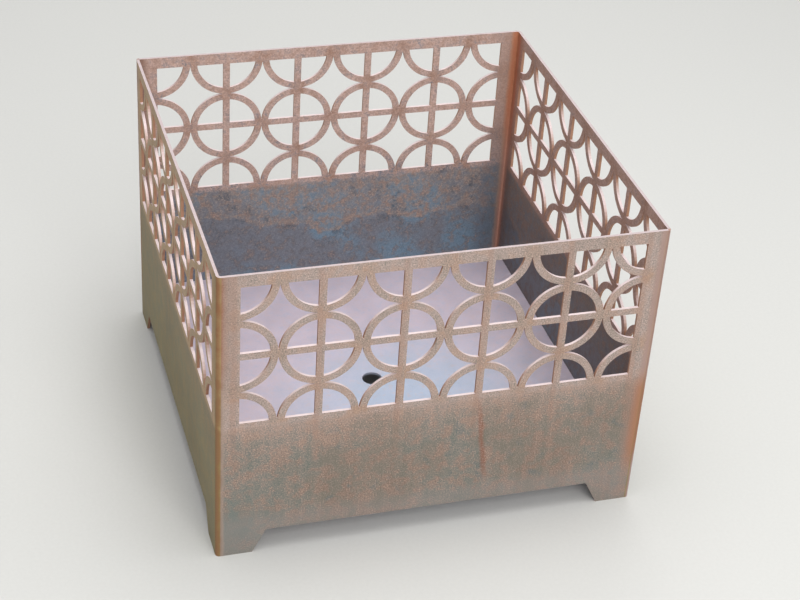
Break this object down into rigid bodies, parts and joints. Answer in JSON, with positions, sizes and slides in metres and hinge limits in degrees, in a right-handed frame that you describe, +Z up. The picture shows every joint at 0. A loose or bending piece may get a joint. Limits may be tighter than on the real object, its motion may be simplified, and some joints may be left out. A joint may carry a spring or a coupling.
{
  "type": "square fire pit",
  "caption": "Square open-topped fire pit of rusted sheet steel with ring-and-bar openwork walls, corner feet and a flat base plate with a drain hole.",
  "frame": {"origin": "on the ground, under the middle of the pit", "axes": "+Z up; -Y is the front wall, +X the right wall; the folded corners are at front left and back right"},
  "size_m": [0.6, 0.6, 0.45],
  "materials": {
    "wall_sheet": "hot-rolled sheet with thin brown rust over blue-grey mill scale",
    "base_sheet": "hot-rolled sheet with its blue-grey mill scale, semi-gloss",
    "weld_metal": "rusted weld metal, ground flush at the corners"
  },
  "bodies": {
    "root": {"panel_front_left": "wall_sheet", "panel_back_right": "wall_sheet", "corner_weld_front_right": "weld_metal", "corner_weld_back_left": "weld_metal", "base_plate": "base_sheet", "base_weld_front_1": "weld_metal", "base_weld_front_2": "weld_metal", "base_weld_front_3": "weld_metal", "base_weld_front_4": "weld_metal", "base_weld_right_1": "weld_metal", "base_weld_right_2": "weld_metal", "base_weld_right_3": "weld_metal", "base_weld_right_4": "weld_metal", "base_weld_back_1": "weld_metal", "base_weld_back_2": "weld_metal", "base_weld_back_3": "weld_metal", "base_weld_back_4": "weld_metal", "base_weld_left_1": "weld_metal", "base_weld_left_2": "weld_metal", "base_weld_left_3": "weld_metal", "base_weld_left_4": "weld_metal"}
  },
  "joints": []
}
